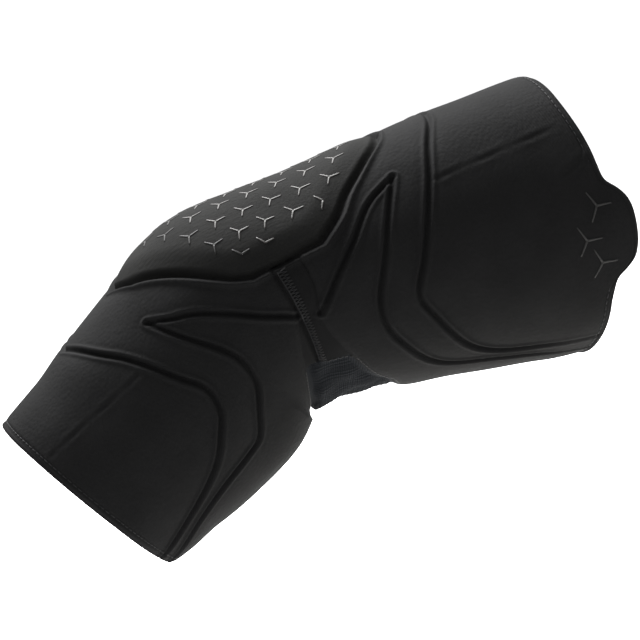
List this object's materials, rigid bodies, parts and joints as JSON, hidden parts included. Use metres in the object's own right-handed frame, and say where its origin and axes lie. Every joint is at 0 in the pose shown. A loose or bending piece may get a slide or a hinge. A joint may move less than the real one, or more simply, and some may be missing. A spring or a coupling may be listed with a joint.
{
  "type": "elbow pad",
  "caption": "Padded compression elbow sleeve with a foam elbow cap, embossed foam panels, a knit crook gusset and a pull tab; bends at the elbow.",
  "frame": {"origin": "elbow pivot, where the centre lines of the upper-arm and forearm sections meet", "axes": "+X along the upper arm towards the wide rim, +Z towards the outside of the elbow, Y is the axis the elbow bends on"},
  "size_m": [0.2854, 0.1169, 0.165],
  "materials": {
    "foam_panel": "matte",
    "cap_foam": "matte",
    "cap_cover": "satin",
    "shell_knit": "matte",
    "rib_knit": "matte",
    "lining": "matte",
    "thread": "satin",
    "silicone": "satin",
    "tab": "satin"
  },
  "bodies": {
    "upper_sleeve": {"upper_liner": "lining", "upper_knit": "shell_knit", "upper_main_pad": "foam_panel", "upper_arch_pad": "foam_panel", "upper_wing_pad_right": "foam_panel", "upper_wing_pad_left": "foam_panel", "upper_closing_seam": "thread", "upper_hem": "thread", "upper_gripper": "silicone", "pull_tab": "tab", "elbow_cap_foam": "cap_foam", "elbow_cap_cover": "cap_cover", "elbow_liner": "lining", "elbow_knit": "shell_knit", "crook_gusset": "rib_knit", "side_seam_right": "thread", "side_seam_left": "thread", "gusset_seam_upper": "thread", "gusset_seam_forearm": "thread"},
    "forearm_sleeve": {"forearm_liner": "lining", "forearm_knit": "shell_knit", "forearm_main_pad": "foam_panel", "forearm_arch_pad": "foam_panel", "forearm_wing_pad_right": "foam_panel", "forearm_wing_pad_left": "foam_panel", "forearm_closing_seam": "thread", "forearm_hem": "thread", "forearm_gripper": "silicone"}
  },
  "joints": [
    {"name": "elbow_flex", "type": "hinge", "parent": "upper_sleeve", "child": "forearm_sleeve", "pos_m": [0, 0, 0], "axis": [0, -1, 0], "range_deg": [-38, 52], "stiffness_Nm_per_rad": 0.5, "deforming": ["elbow_cap_foam", "elbow_cap_cover", "elbow_liner", "elbow_knit", "crook_gusset", "side_seam_right", "side_seam_left", "gusset_seam_upper", "gusset_seam_forearm"]}
  ]
}
